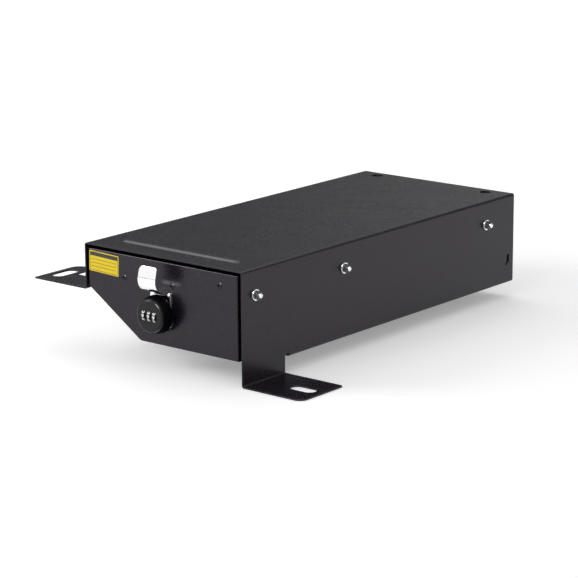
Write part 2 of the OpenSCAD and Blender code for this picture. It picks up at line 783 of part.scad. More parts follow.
module housing_screws() {
    color([0.75, 0.76, 0.78]) in_frame() at_slide_screws() slide_screw();
}
module housing_washers() {
    color([0.75, 0.76, 0.78]) in_frame() at_slide_screws() slide_washer();
}
module housing_nuts() {
    color([0.72, 0.73, 0.75]) in_frame() at_slide_screws() slide_nut();
}
// Places of the rivets between an inner rail and the tray, with z from the rail into the tray
module tray_rivet_spots() {
    for (y = tray_rivet_ys) translate([slide_t - rail_t, y, 0]) rotate([0, 90, 0]) children();
}
module tray_rivets() {
    color([0.7, 0.71, 0.73]) in_frame() {
        slide_place() tray_rivet_spots() rivet(rail_t + tray_t);
        on_right() slide_place() tray_rivet_spots() rivet(rail_t + tray_t);
    }
}

// Drawer
module sleeve_hole() {
    r = sleeve_d / 2 + sleeve_clear;
    flats = sleeve_flats + 2 * sleeve_clear;
    translate([lock_x, lock_z]) intersection() {
        circle(r = r);
        square([flats, 3 * r], center = true);
    }
}
module front_rivet_spots() {
    for (p = front_rivet_places) translate([p[0], front_recess, p[1]]) rotate([-90, 0, 0]) children();
}
// The drawer front's outside, or its inside with inset at its thickness
module front_block(inset) {
    y0 = front_recess + inset;
    y1 = front_recess + front_rim + inset;
    r = max(front_edge_r - inset, 0.2);
    x0 = front_x0 + inset;
    x1 = front_x1 - inset;
    z0 = front_bottom + inset;
    z1 = front_z1 - inset;
    intersection() {
        along_y(y0, y1) polygon(section(x0, x1, z0, z1, front_gap_slope + inset));
        along_z(z0 - cut, z1 + cut) translate([x0, y0])
            rounded_plate(x1 - x0, y1 - y0, [r, r, sharp, sharp]);
        along_x(x0 - cut, x1 + cut) translate([y0, z0])
            rounded_plate(y1 - y0, z1 - z0, [r, sharp, sharp, r]);
    }
}
module drawer_front() {
    color([0.17, 0.17, 0.18]) in_frame() difference() {
        front_block(0);
        front_block(front_t);
        along_y(front_recess - cut, tray_y0 + cut) sleeve_hole();
        front_rivet_spots() rivet_hole(front_t);
    }
}
module drawer_tray() {
    color([0.17, 0.17, 0.18]) in_frame() difference() {
        union() {
            difference() {
                along_y(tray_y0, tray_y1)
                    polygon(section(tray_x0, tray_x1, tray_z0, tray_z1, tray_d));
                along_y(tray_y0 + tray_t, tray_y1 - tray_t)
                    polygon(section(tray_x0 + tray_t, tray_x1 - tray_t, tray_z0 + tray_t,
                        tray_z1 + cut, tray_d + tray_t));
            }
            for (x = [tray_x0, tray_x1 - tray_lip])
                translate([x, tray_y0, tray_z1 - tray_t]) cube([tray_lip, tray_y1 - tray_y0, tray_t]);
            translate([tray_x0, tray_y1 - tray_lip, tray_z1 - tray_t])
                cube([tray_x1 - tray_x0, tray_lip, tray_t]);
        }
        along_y(tray_y0 - cut, nut_y + cut) sleeve_hole();
        front_rivet_spots() rivet_hole(front_t + tray_t);
        slide_place() tray_rivet_spots() rivet_hole(rail_t + tray_t);
        on_right() slide_place() tray_rivet_spots() rivet_hole(rail_t + tray_t);
    }
}
module front_rivets() {
    color([0.1, 0.1, 0.1]) in_frame() front_rivet_spots() difference() {
        rivet(front_t + tray_t);
        translate([0, 0, -rivet_head_h - cut])
            cylinder(h = rivet_head_h + cut + front_t / 2, d = rivet_hollow_d);
    }
}
module blank_label() {
    left = front_x0 + front_edge_r + label_in;
    top = front_z1 - front_edge_r - label_in;
    color([0.96, 0.84, 0.2]) in_frame() translate([left, front_recess - label_t, top])
        rotate([0, label_tilt, 0]) translate([0, 0, -label_h]) cube([label_w, label_t, label_h]);
}

// Finger pull: a strip bent out of its plate. Its side view starts at the lock's axis and has the
// distance out from the drawer front as x.
function heading(a) = [cos(a), sin(a)];
function arc(centre, r, angles) = [for (a = angles) centre + r * heading(a)];
function spread(a0, a1) = [for (i = [0:ceil(abs(a1 - a0) / arc_step)])
    a0 + (a1 - a0) * i / max(ceil(abs(a1 - a0) / arc_step), 1)];
module pull_side() {
    low_centre = [fold_centre, pull_fold_up];
    high_centre = low_centre + (fold_centre + pull_curve_r) * heading(90 + pull_rise)
        + pull_run * heading(pull_rise);
    outer_r = pull_curve_r + pull_t;
    tip = pull_top_up * heading(90 + pull_lean);
    polygon(concat([[0, 0], [pull_t, 0]],
        arc(low_centre, pull_fold_r, spread(180, 90 + pull_rise)),
        arc(high_centre, outer_r, spread(pull_rise - 90, 0)),
        arc(high_centre, outer_r, spread(arc_step, pull_lean)),
        [high_centre + outer_r * heading(pull_lean) + tip],
        [high_centre + pull_curve_r * heading(pull_lean) + tip],
        arc(high_centre, pull_curve_r, spread(pull_lean, pull_rise - 90)),
        arc(low_centre, fold_centre, spread(90 + pull_rise, 180))));
}
module pull_plate() {
    corner = 1;
    difference() {
        translate([-pull_w / 2, -pull_below])
            rounded_plate(pull_w, pull_below + pull_ear_up, [corner, corner, corner, corner]);
        translate([-grip_w / 2, pull_fold_up]) square([grip_w, pull_ear_up]);
    }
}
module pull_tab() {
    color([0.9, 0.9, 0.91]) in_frame() difference() {
        translate([lock_x, 0, lock_z]) {
            intersection() {
                along_x(-grip_w / 2, grip_w / 2) translate([front_recess, 0]) mirror([1, 0]) pull_side();
                along_y(front_recess - pull_out - cut, front_recess + cut)
                    translate([-grip_w / 2, -cut]) rounded_plate(grip_w, pull_top_up + cut,
                        [sharp, sharp, pull_corner_r, pull_corner_r]);
            }
            along_y(front_recess - pull_t, front_recess) pull_plate();
        }
        along_y(front_recess - pull_t - cut, front_recess + cut) sleeve_hole();
    }
}

// Lock, drawn with its axis on x = 0, z = 0
module lock_place() {
    in_frame() translate([lock_x, 0, lock_z]) children();
}
module wheel_xs() {
    for (i = [-1:1]) translate([i * wheel_pitch, wheel_y, 0]) children();
}
module lock_sleeve() {
    color([0.35, 0.35, 0.36]) lock_place() difference() {
        union() {
            rod_y(sleeve_y0, pull_face_y, knob_recess_d - 2 * knob_clear);
            intersection() {
                rod_y(sleeve_y0, sleeve_y1, sleeve_d);
                translate([-sleeve_flats / 2, sleeve_y0, -sleeve_d])
                    cube([sleeve_flats, sleeve_y1 - sleeve_y0, 2 * sleeve_d]);
            }
        }
        rod_y(sleeve_y0 - cut, sleeve_y1 + cut, spindle_d + 2 * spindle_clear);
    }
}
module lock_nut() {
    color([0.6, 0.6, 0.62]) lock_place() difference() {
        translate([0, nut_y, 0]) rotate([-90, 0, 0])
            cylinder(h = lock_nut_h, d = lock_nut_af / cos(30), $fn = 6);
        rod_y(nut_y - cut, nut_y + lock_nut_h + cut, sleeve_d + 2 * fixed_clear);
    }
}
// Half of the knob's lengthwise section, with its face at y = 0
module knob_section() {
    rim_r = knob_d / 2;
    face_r = knob_face_d / 2;
    depth = knob_rear_y - knob_face_y;
    taper = atan((rim_r - face_r) / (depth - knob_rim));
    face_centre = [face_r - knob_edge_r * (1 - sin(taper)) / cos(taper), knob_edge_r];
    rear_centre = [rim_r - knob_rear_r, depth - knob_rear_r];
    difference() {
        polygon([[0, 0], [face_r, 0], [rim_r, depth - knob_rim], [rim_r, depth], [0, depth]]);
        difference() {
            polygon([face_centre, [face_centre[0], -cut],
                face_centre + 4 * knob_edge_r * [cos(taper), -sin(taper)]]);
            translate(face_centre) circle(r = knob_edge_r);
        }
        difference() {
            translate(rear_centre) square(knob_rear_r + cut);
            translate(rear_centre) circle(r = knob_rear_r);
        }
    }
}
module knob_body() {
    translate([0, knob_face_y, 0]) rotate([-90, 0, 0]) rotate_extrude() knob_section();
}
module knob_screw_spots() {
    for (side = [-1, 1]) translate([0, disc_y1, side * knob_screw_r]) children();
}
module lock_knob() {
    color([0.06, 0.06, 0.065]) lock_place() difference() {
        knob_body();
        rod_y(disc_y0, knob_rear_y + cut, knob_recess_d);
        wheel_xs() {
            translate([-window_width / 2, knob_face_t - wheel_y + knob_face_y, -pocket_h / 2])
                cube([window_width, wheel_d + cut, pocket_h]);
            translate([-window_width / 2, knob_face_y - wheel_y - cut, -window_h / 2])
                cube([window_width, knob_face_t + 2 * cut, window_h]);
            rod_x(-window_width / 2, window_width / 2, pocket_h);
        }
        translate([0, wheel_y, 0]) {
            rod_x(-axle_half - fixed_clear, axle_half + fixed_clear, axle_d + 2 * fixed_clear);
            translate([-axle_half - fixed_clear, 0, -axle_d / 2 - fixed_clear])
                cube([2 * (axle_half + fixed_clear), wheel_d, axle_d + 2 * fixed_clear]);
        }
        knob_screw_spots() rod_y(-disc_t - knob_screw_len - cut, cut, knob_screw_d + 2 * fixed_clear);
    }
}
module lock_spindle() {
    square_y = cam_y - knob_clear;
    end_y = cam_y + cam_t - fixed_clear;
    color([0.62, 0.63, 0.65]) lock_place() difference() {
        union() {
            rod_y(disc_y0, disc_y1, knob_recess_d - 2 * fixed_clear);
            rod_y(disc_y0, cam_y, spindle_d);
            translate([-cam_square / 2, square_y, -cam_square / 2])
                cube([cam_square, end_y - square_y, cam_square]);
        }
        rod_y(end_y - cam_screw_len - cut, end_y + cut, cam_screw_d + 2 * fixed_clear);
        knob_screw_spots() rod_y(-disc_t - cut, cut, knob_screw_d + 2 * fixed_clear);
    }
}
module knob_screws() {
    head = 0.25;
    color([0.7, 0.71, 0.73]) lock_place() knob_screw_spots() {
        rod_y(-disc_t - knob_screw_len, head, knob_screw_d);
        rod_y(0, head, 2 * knob_screw_d);
    }
}
module wheel_axle() {
    color([0.72, 0.73, 0.75]) lock_place() translate([0, wheel_y, 0]) rod_x(-axle_half, axle_half, axle_d);
}
module number_wheel(i) {
    rim = wheel_d / 2 + notch_r / 2;
    color([0.05, 0.05, 0.05]) lock_place() translate([i * wheel_pitch, wheel_y, 0]) difference() {
        rod_x(-wheel_w / 2, wheel_w / 2, wheel_d);
        rod_x(-wheel_w, wheel_w, axle_d + 2 * axle_clear);
        for (n = [0:numbers - 1]) rotate([(n + 0.5) * 360 / numbers, 0, 0])
            translate([0, -rim, 0]) rod_x(-wheel_w, wheel_w, 2 * notch_r);
    }
}
module lock_cam() {
    tip = cam_reach - cam_w / 2;
    hole = cam_square + 2 * fixed_clear;
    color([0.7, 0.71, 0.73]) lock_place() along_y(cam_y, cam_y + cam_t) difference() {
        union() {
            circle(d = cam_w);
            translate([-tip, -cam_w / 2]) square([tip, cam_w]);
            translate([-tip, 0]) circle(d = cam_w);
        }
        square([hole, hole], center = true);
    }
}
module cam_screw() {
    y = cam_y + cam_t;
    color([0.72, 0.73, 0.75]) lock_place() {
        rod_y(y - cam_screw_len, y + cam_screw_head_h / 2, cam_screw_d);
        translate([0, y, 0]) rotate([-90, 0, 0]) difference() {
            cylinder(h = cam_screw_head_h, d = cam_screw_head_d);
            translate([0, 0, cam_screw_head_h / 2])
                cylinder(h = cam_screw_head_h, d = cam_screw_head_d / 2, $fn = 6);
        }
    }
}

// Left and right slide pieces
rail_grey = [0.68, 0.69, 0.71];
cage_grey = [0.5, 0.5, 0.52];
ball_grey = [0.8, 0.81, 0.83];
module outer_rail_left() { color(rail_grey) in_frame() outer_rail(); }
module outer_rail_right() { color(rail_grey) in_frame() on_right() outer_rail(); }
module inner_rail_left() { color(rail_grey) in_frame() inner_rail(); }
module inner_rail_right() { color(rail_grey) in_frame() on_right() inner_rail(); }
module ball_cage_left() { color(cage_grey) in_frame() ball_cage(); }
module ball_cage_right() { color(cage_grey) in_frame() on_right() ball_cage(); }
module slide_balls_left() { color(ball_grey) in_frame() slide_balls(); }
module slide_balls_right() { color(ball_grey) in_frame() on_right() slide_balls(); }

housing_shell();
bottom_pan();
rear_panel();
pan_rivets();
latch_strike();
outer_rail_left();
outer_rail_right();
housing_screws();
housing_washers();
housing_nuts();
ball_cage_left();
ball_cage_right();
slide_balls_left();
slide_balls_right();
inner_rail_left();
inner_rail_right();
tray_rivets();
drawer_tray();
drawer_front();
front_rivets();
pull_tab();
blank_label();
lock_sleeve();
lock_nut();
lock_knob();
lock_spindle();
knob_screws();
wheel_axle();
number_wheel(-1);  // number_wheel_left
number_wheel(0);  // number_wheel_middle
number_wheel(1);  // number_wheel_right
lock_cam();
cam_screw();
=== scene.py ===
import json
import math

import bmesh
import bpy
from mathutils import Matrix, Vector


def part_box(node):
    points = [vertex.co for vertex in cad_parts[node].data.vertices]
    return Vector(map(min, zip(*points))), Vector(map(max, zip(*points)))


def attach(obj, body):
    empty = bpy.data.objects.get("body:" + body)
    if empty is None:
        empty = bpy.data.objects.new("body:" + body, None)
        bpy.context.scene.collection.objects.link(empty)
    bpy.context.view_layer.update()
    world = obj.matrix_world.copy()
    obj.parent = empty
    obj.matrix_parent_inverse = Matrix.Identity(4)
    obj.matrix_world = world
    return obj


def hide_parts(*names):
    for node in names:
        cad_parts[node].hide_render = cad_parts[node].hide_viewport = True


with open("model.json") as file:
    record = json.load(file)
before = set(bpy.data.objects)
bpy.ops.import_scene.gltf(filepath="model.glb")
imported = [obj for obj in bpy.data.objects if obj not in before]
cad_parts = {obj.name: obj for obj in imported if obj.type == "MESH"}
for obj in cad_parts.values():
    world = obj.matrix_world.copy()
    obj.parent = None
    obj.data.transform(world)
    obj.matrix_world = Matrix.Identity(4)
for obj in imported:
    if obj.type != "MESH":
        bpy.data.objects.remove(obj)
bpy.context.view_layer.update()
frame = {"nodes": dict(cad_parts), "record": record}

MM = 0.001

# The camera, fitted to the straight edges of the housing in the photograph
CAMERA_PLACE = Vector((1.494505, -1.851594, 0.638994))
CAMERA_AZIMUTH = math.radians(39.2529)
CAMERA_ELEVATION = math.radians(14.1807)
CAMERA_ROLL = math.radians(-0.295)
SENSOR = 36.0
LENS = 150.02
SEEN_TO = 100.0

# Lamps: name, place, target, width and height, watts, and whether only highlights show it
LAMPS = (
    ("key", (-1.75, -1.5, 1.25), (0, -0.1, 0.06), (1.0, 0.8), 24, False),
    ("front", (0.3, -2.3, 1.2), (0, 0, 0.05), (1.6, 1.0), 10, False),
    ("top", (-0.9, 0.9, 2.1), (0, 0, 0.1), (2.0, 1.5), 11, False),
    ("edge", (-1.47, -0.1, 1.96), (0, -0.2, 0.06), (0.8, 0.7), 7, True),
    ("sparkle", (0.6, -1.4, 1.75), (0, -0.2, 0.06), (1.0, 1.0), 90, True),
)

# Edges of the CAD pieces: the width of the small round that each group gets
SHEET_EDGE = 0.22 * MM
METAL_EDGE = 0.12 * MM
SMALL_EDGE = 0.06 * MM
EDGE_SEGMENTS = 3
SMOOTH_BELOW = math.radians(38)
FLAT_WITHIN = math.radians(0.3)
SAME_POINT = 0.001 * MM
FLAT_FACE_WEIGHT = 80

# Wall fasteners: the sizes that don't come from the boxes of their CAD pieces
STUD_R = 2.5 * MM
HEAD_RIM = 0.1 * MM
HEAD_TAPER = 2 * MM
THREAD_PITCH = 0.8 * MM
THREAD_DEPTH = 0.35 * MM
THREAD_FADE = 0.8 * MM
THREAD_RINGS = 60
TIP_LEN = 1.5 * MM
TIP_STRAIGHT = 0.5 * MM
TIP_FLAT_R = 0.15 * MM
SEAT_ROUND = 0.35 * MM
NUT_CHAMFER = math.radians(30)
NUT_FACE_SHARE = 0.99
NUT_RINGS = (0, 0.05, 0.1, 0.15, 0.2, 0.3, 0.7, 0.8, 0.85, 0.9, 0.95, 1)
STUD_STEPS = 40
SEAT_STEPS = 56
NUT_STEPS = 72


# Nodes of a material
class Paint:
    """A material with one Principled shader and helpers that add procedural nodes to it."""

    def __init__(self, name, color, roughness, metallic=0.0, specular=0.5):
        self.material = bpy.data.materials.new(name)
        self.material.use_nodes = True
        self.tree = self.material.node_tree
        self.shader = self.tree.nodes["Principled BSDF"]
        self.shader.inputs["Base Color"].default_value = (*color, 1)
        self.shader.inputs["Roughness"].default_value = roughness
        self.shader.inputs["Metallic"].default_value = metallic
        self.shader.inputs["Specular IOR Level"].default_value = specular
        self.place = self.tree.nodes.new("ShaderNodeTexCoord").outputs["Object"]

    def add(self, kind, inputs=None, **settings):
        node = self.tree.nodes.new(kind)
        for key, value in settings.items():
            setattr(node, key, value)
        for key, value in (inputs or {}).items():
            if isinstance(value, bpy.types.NodeSocket):
                self.tree.links.new(value, node.inputs[key])
            else:
                node.inputs[key].default_value = value
        return node

    def noise(self, size, detail, stretch=(1, 1, 1), rough=0.5):
        """Noise whose features are size metres across, stretched along the axes by stretch."""
        scale = [1 / (size * s) for s in stretch]
        place = self.add("ShaderNodeMapping", {"Vector": self.place, "Scale": scale})
        made = self.add("ShaderNodeTexNoise", {"Vector": place.outputs["Vector"], "Scale": 1.0,
                                               "Detail": detail, "Roughness": rough})
        return made.outputs["Fac"]

    def spread(self, value, low, high, low_to=0.0, high_to=1.0):
        """The stretch from low to high of a value, mapped to low_to and high_to."""
        made = self.add("ShaderNodeMapRange", {"Value": value, "From Min": low, "From Max": high,
                                               "To Min": low_to, "To Max": high_to})
        return made.outputs["Result"]

    def vary(self, noise, low_to=0.0, high_to=1.0):
        """The stretch that a noise mostly fills, mapped to low_to and high_to."""
        return self.spread(noise, 0.3, 0.7, low_to, high_to)

    def math(self, operation, a, b):
        return self.add("ShaderNodeMath", {0: a, 1: b}, operation=operation).outputs["Value"]

    def mix(self, factor, a, b):
        made = self.add("ShaderNodeMix", data_type="RGBA")
        for index, value in ((0, factor), (6, a), (7, b)):
            if isinstance(value, bpy.types.NodeSocket):
                self.tree.links.new(value, made.inputs[index])
            elif index == 0:
                made.inputs[index].default_value = value
            else:
                made.inputs[index].default_value = (*value, 1)
        return made.outputs[2]

    def edges(self, radius):
        """1 on an edge of the shape and 0 on its flats."""
        rounded = self.add("ShaderNodeBevel", {"Radius": radius}, samples=4)
        true = self.add("ShaderNodeNewGeometry")
        dot = self.add("ShaderNodeVectorMath", {0: rounded.outputs["Normal"], 1: true.outputs["Normal"]},
                       operation="DOT_PRODUCT")
        nearly_flat = 0.995
        fully_edge = 0.86
        return self.spread(dot.outputs["Value"], nearly_flat, fully_edge)

    def split(self, vector):
        """The x, y and z of a vector."""
        return self.add("ShaderNodeSeparateXYZ", {"Vector": vector}).outputs

    def facing(self):
        """The true normal, in the frame's own axes."""
        return self.add("ShaderNodeNewGeometry").outputs["True Normal"]

    def set_color(self, socket):
        self.tree.links.new(socket, self.shader.inputs["Base Color"])

    def set_roughness(self, socket):
        self.tree.links.new(socket, self.shader.inputs["Roughness"])

    def bump(self, height, distance, strength):
        made = self.add("ShaderNodeBump", {"Height": height, "Distance": distance,
                                           "Strength": strength})
        self.tree.links.new(made.outputs["Normal"], self.shader.inputs["Normal"])


def shade(color, factor):
    return tuple(c * factor for c in color)


# Materials of the object
def powder_coat(name="powder_coat", cut_edge=None):
    """Satin black coat: fine pebbles, slow drifts in tone and gloss, and edges rubbed a little.

    Faces that look to the front and lie in front of cut_edge, the sheet's front cut edges, get painted
    shade: near black and less glossy."""
    color = (0.0042, 0.0026, 0.0058)
    tint = (0.96, 0.9, 1.0, 1)
    rubbed_color = (0.02, 0.02, 0.022)
    # Near black painted shade for the sheet's front cut edges
    painted_shade_color = (0.002, 0.002, 0.002)
    roughness = 0.27
    drift_gloss = 0.015
    speck_gloss = 0.05
    painted_shade_gloss = 0.4
    coat = Paint(name, color, roughness, specular=0.4)
    coat.shader.inputs["Specular Tint"].default_value = tint
    pebbles = coat.noise(1.2 * MM, detail=4)
    drift = coat.noise(45 * MM, detail=2)
    specks = coat.vary(coat.noise(1.1 * MM, detail=2, rough=0.7))
    wear = coat.spread(coat.noise(9 * MM, detail=4), 0.35, 0.75, 0.05, 0.55)
    tone = coat.mix(specks, shade(color, 0.86), shade(color, 1.16))
    tone = coat.mix(coat.vary(drift, 0.0, 0.35), tone, shade(color, 1.12))
    rubbed = coat.math("MULTIPLY", coat.edges(0.7 * MM), wear)
    gloss = coat.math("ADD", coat.vary(drift, roughness - drift_gloss, roughness + drift_gloss),
                      coat.spread(specks, 0, 1, -speck_gloss, speck_gloss))
    # Painted shade: the front-facing cut edges of the sheet turn near black and rougher
    if cut_edge is not None:
        at_front = coat.spread(coat.split(coat.place)[1], cut_edge + MM, cut_edge)
        looks_to_front = coat.spread(coat.split(coat.facing())[1], -0.5, -0.8)
        painted_shade = coat.math("MULTIPLY", at_front, looks_to_front)
        rubbed = coat.math("MULTIPLY", rubbed, coat.math("SUBTRACT", 1.0, painted_shade))
        gloss = coat.math("ADD", gloss, coat.math("MULTIPLY", painted_shade, painted_shade_gloss))
        tone = coat.mix(painted_shade, tone, painted_shade_color)
    coat.set_color(coat.mix(rubbed, tone, rubbed_color))
    coat.set_roughness(gloss)
    coat.bump(pebbles, 0.07 * MM, 0.6)
    return coat.material


def black_rivet():
    """Blackened rivets, finer in grain than the coat, with a rubbed rim."""
    color = (0.012, 0.012, 0.013)
    rubbed_color = (0.04, 0.04, 0.042)
    coat = Paint("black_rivet", color, 0.3, specular=0.25)
    grain = coat.noise(0.5 * MM, detail=3)
    worn = coat.math("MULTIPLY", coat.edges(0.25 * MM), coat.vary(grain, 0.1, 0.6))
    coat.set_color(coat.mix(worn, color, rubbed_color))
    coat.set_roughness(coat.vary(grain, 0.24, 0.4))
    coat.bump(grain, 0.02 * MM, 0.4)
    return coat.material


def metal(name, color, roughness, grain_size, stretch=(1, 1, 1), tarnish=0.85, depth=0.01 * MM):
    """Bare metal: a grain drawn out along the axes by stretch, cloudy tarnish and bright rubbed edges."""
    brighter = 1.15
    coat = Paint(name, color, roughness, metallic=1.0)
    grain = coat.noise(grain_size, detail=3, stretch=stretch)
    clouds = coat.noise(12 * MM, detail=4, rough=0.6)
    tone = coat.mix(coat.spread(clouds, 0.35, 0.7), color, shade(color, tarnish))
    bright = tuple(min(1.0, c) for c in shade(color, brighter))
    coat.set_color(coat.mix(coat.math("MULTIPLY", coat.edges(0.3 * MM), 0.6), tone, bright))
    coat.set_roughness(coat.math("ADD", coat.vary(grain, roughness * 0.8, roughness * 1.25),
                                 coat.vary(clouds, -0.02, 0.05)))
    coat.bump(grain, depth, 0.5)
    return coat.material


def gloss_black():
    """The lock knob: black, glossy, with faint handling marks."""
    color = (0.0035, 0.0022, 0.0045)
    worn_color = (0.012, 0.012, 0.013)
    coat = Paint("lock_black", color, 0.22, specular=0.3)
    clouds = coat.noise(6 * MM, detail=4, rough=0.6)
    fine = coat.noise(0.35 * MM, detail=2)
    worn = coat.math("MULTIPLY", coat.edges(0.3 * MM), coat.spread(clouds, 0.35, 0.7, 0.05, 0.4))
    coat.set_color(coat.mix(worn, color, worn_color))
    coat.set_roughness(coat.math("ADD", coat.vary(clouds, 0.18, 0.28), coat.vary(fine, -0.02, 0.02)))
    coat.bump(fine, 0.01 * MM, 0.25)
    return coat.material


def plastic(name, color, roughness, variation=0.9, specular=0.5):
    """Moulded or printed plastic with a fine grain."""
    coat = Paint(name, color, roughness, specular=specular)
    grain = coat.noise(0.4 * MM, detail=3)
    clouds = coat.noise(8 * MM, detail=3)
    coat.set_color(coat.mix(coat.vary(clouds), shade(color, variation), color))
    coat.set_roughness(coat.vary(grain, roughness - 0.06, roughness + 0.08))
    coat.bump(grain, 0.01 * MM, 0.35)
    return coat.material


MATERIALS = {
    "powder_coat": powder_coat(),
    "black_rivet": black_rivet(),
    "rail_steel": metal("rail_steel", (0.62, 0.63, 0.65), 0.3, 0.5 * MM, stretch=(1, 30, 1)),
    "ball_steel": metal("ball_steel", (0.8, 0.81, 0.82), 0.08, 0.5 * MM, tarnish=0.95),
    "bright_zinc": metal("bright_zinc", (0.78, 0.79, 0.8), 0.2, 0.4 * MM),
    "polished_steel": metal("polished_steel", (0.99, 0.99, 1.0), 0.1, 0.3 * MM,
                            stretch=(1, 1, 12), tarnish=0.98, depth=0.004 * MM),
    "lock_metal": metal("lock_metal", (0.4, 0.4, 0.42), 0.35, 0.6 * MM),
    "lock_black": gloss_black(),
    "wheel_black": plastic("wheel_black", (0.004, 0.004, 0.004), 0.5, specular=0.25),
    "yellow_label": plastic("yellow_label", (0.8, 0.59, 0.016), 0.45, variation=0.94, specular=0.25),
}
WHITE_INK = plastic("white_ink", (0.96, 0.96, 0.95), 0.45)
BLACK_INK = plastic("black_ink", (0.02, 0.02, 0.02), 0.45)
KNOB_RUBBER = plastic("knob_rubber", (0.0015, 0.0015, 0.0016), 0.6, specular=0.02)
DARK_ZINC = metal("dark_zinc", (0.14, 0.14, 0.145), 0.36, 0.5 * MM, tarnish=0.6, depth=0.03 * MM)


# The CAD pieces that stay
def smooth_by_angle():
    """Geometry nodes that shade smooth, apart from edges sharper than SMOOTH_BELOW."""
    group = bpy.data.node_groups.new("smooth_by_angle", "GeometryNodeTree")
    group.interface.new_socket("Geometry", in_out="INPUT", socket_type="NodeSocketGeometry")
    group.interface.new_socket("Geometry", in_out="OUTPUT", socket_type="NodeSocketGeometry")
    start = group.nodes.new("NodeGroupInput")
    end = group.nodes.new("NodeGroupOutput")
    angle = group.nodes.new("GeometryNodeInputMeshEdgeAngle")
    sharp = group.nodes.new("FunctionNodeCompare")
    sharp.inputs[1].default_value = SMOOTH_BELOW
    faces = group.nodes.new("GeometryNodeSetShadeSmooth")
    edges = group.nodes.new("GeometryNodeSetShadeSmooth")
    edges.domain = "EDGE"
    edges.inputs["Shade Smooth"].default_value = False
    group.links.new(angle.outputs["Unsigned Angle"], sharp.inputs[0])
    group.links.new(start.outputs[0], faces.inputs[0])
    group.links.new(faces.outputs[0], edges.inputs[0])
    group.links.new(sharp.outputs[0], edges.inputs["Selection"])
    group.links.new(edges.outputs[0], end.inputs[0])
    return group


SMOOTH = smooth_by_angle()


def shade_smooth(piece):
    smooth = piece.modifiers.new("smooth", "NODES")
    smooth.node_group = SMOOTH


def round_edges(piece, width):
    """Joins the corners, merges flat faces and rounds the sharp edges, without touching the mesh."""
    weld = piece.modifiers.new("weld", "WELD")
    weld.merge_threshold = SAME_POINT
    flats = piece.modifiers.new("flats", "DECIMATE")
    flats.decimate_type = "DISSOLVE"
    flats.angle_limit = FLAT_WITHIN
    # A bevel breaks merged faces that have holes, unless they are cut up again first
    corners = piece.modifiers.new("corners", "TRIANGULATE")
    corners.min_vertices = 5
    if width:
        bevel = piece.modifiers.new("edges", "BEVEL")
        bevel.width = width
        bevel.segments = EDGE_SEGMENTS
        bevel.limit_method = "ANGLE"
        bevel.angle_limit = SMOOTH_BELOW
        bevel.use_clamp_overlap = False
        bevel.loop_slide = False
    shade_smooth(piece)
    flat = piece.modifiers.new("flat_faces", "WEIGHTED_NORMAL")
    flat.mode = "FACE_AREA"
    flat.weight = FLAT_FACE_WEIGHT
    flat.keep_sharp = True


def paint(piece, material):
    piece.data.materials.clear()
    piece.data.materials.append(material)


def dress_cad_pieces():
    slots = {row["node"]: row["material_slot"] for row in frame["record"]["subparts"]}
    widths = {"powder_coat": SHEET_EDGE, "ball_steel": 0, "wheel_black": SMALL_EDGE,
              "bright_zinc": SMALL_EDGE, "black_rivet": SMALL_EDGE}
    shell_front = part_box("housing_shell")[0].y
    for name, piece in frame["nodes"].items():
        paint(piece, MATERIALS[slots[name]])
        round_edges(piece, widths.get(slots[name], METAL_EDGE))
    # The shell's coat paints shade on its front cut edges
    paint(frame["nodes"]["housing_shell"], powder_coat("shell_coat", cut_edge=shell_front))


def solid_boxes(node):
    """The box of each separate solid of a CAD node, as (lowest corner, highest corner)."""
    mesh = bmesh.new()
    mesh.from_mesh(frame["nodes"][node].data)
    bmesh.ops.remove_doubles(mesh, verts=mesh.verts, dist=SAME_POINT)
    left = set(mesh.verts)
    boxes = []
    while left:
        group = [left.pop()]
        for vert in group:
            for edge in vert.link_edges:
                other = edge.other_vert(vert)
                if other in left:
                    left.remove(other)
                    group.append(other)
        low = Vector(min(v.co[i] for v in group) for i in range(3))
        high = Vector(max(v.co[i] for v in group) for i in range(3))
        boxes.append((low, high))
    mesh.free()
    return sorted(boxes, key=lambda box: tuple(round(c, 5) for c in box[0]))


# Building new pieces
class Shape:
    """Vertices and faces that several solids of one piece are gathered in."""

    def __init__(self):
        self.verts = []
        self.faces = []

    def add(self, verts, faces):
        first = len(self.verts)
        self.verts += [Vector(v) for v in verts]
        self.faces += [[first + i for i in face] for face in faces]

    def rings(self, rings, closed_ends=True):
        """A skin over rings of points, each with the same number of points."""
        count = len(rings[0])
        faces = []
        for k in range(len(rings) - 1):
            for i in range(count):
                j = (i + 1) % count
                faces.append([k * count + i, k * count + j, (k + 1) * count + j, (k + 1) * count + i])
        if closed_ends:
            faces.append(list(range(count))[::-1])
            faces.append([(len(rings) - 1) * count + i for i in range(count)])
        self.add([p for ring in rings for p in ring], faces)


def new_piece(name, shape, material, body, replaces=()):
    mesh = bpy.data.meshes.new(name)
    mesh.from_pydata([tuple(v) for v in shape.verts], [], shape.faces)
    mesh.validate()
    piece = bpy.data.objects.new(name, mesh)
    bpy.context.scene.collection.objects.link(piece)
    paint(piece, material)
    shade_smooth(piece)
    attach(piece, body)
    if replaces:
        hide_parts(*replaces)


def turned(centre, axis, across, profile, steps, radius_at=None):
    """Rings of a turned solid: profile holds (distance along the axis, radius) pairs."""
    up = axis.cross(across)
    rings = []
    for along, radius in profile:
        ring = []
        for i in range(steps):
            a = 2 * math.pi * i / steps
            r = radius if radius_at is None else radius_at(along, radius, a)
            ring.append(centre + along * axis + r * (math.cos(a) * across + math.sin(a) * up))
        rings.append(ring)
    return rings


def quarter_turn(parts, first, last):
    """Angles that cut a quarter turn into equal parts, from the first to the last of them."""
    return [math.pi / 2 * i / parts for i in range(first, last + 1)]


# The fasteners in the walls
def head_profile(foot, head_r):
    """A stud's head, which narrows to the shank, and the shank up to the wall's face."""
    return [(foot, head_r), (foot + HEAD_RIM, head_r), (foot + HEAD_TAPER, STUD_R), (0, STUD_R)]


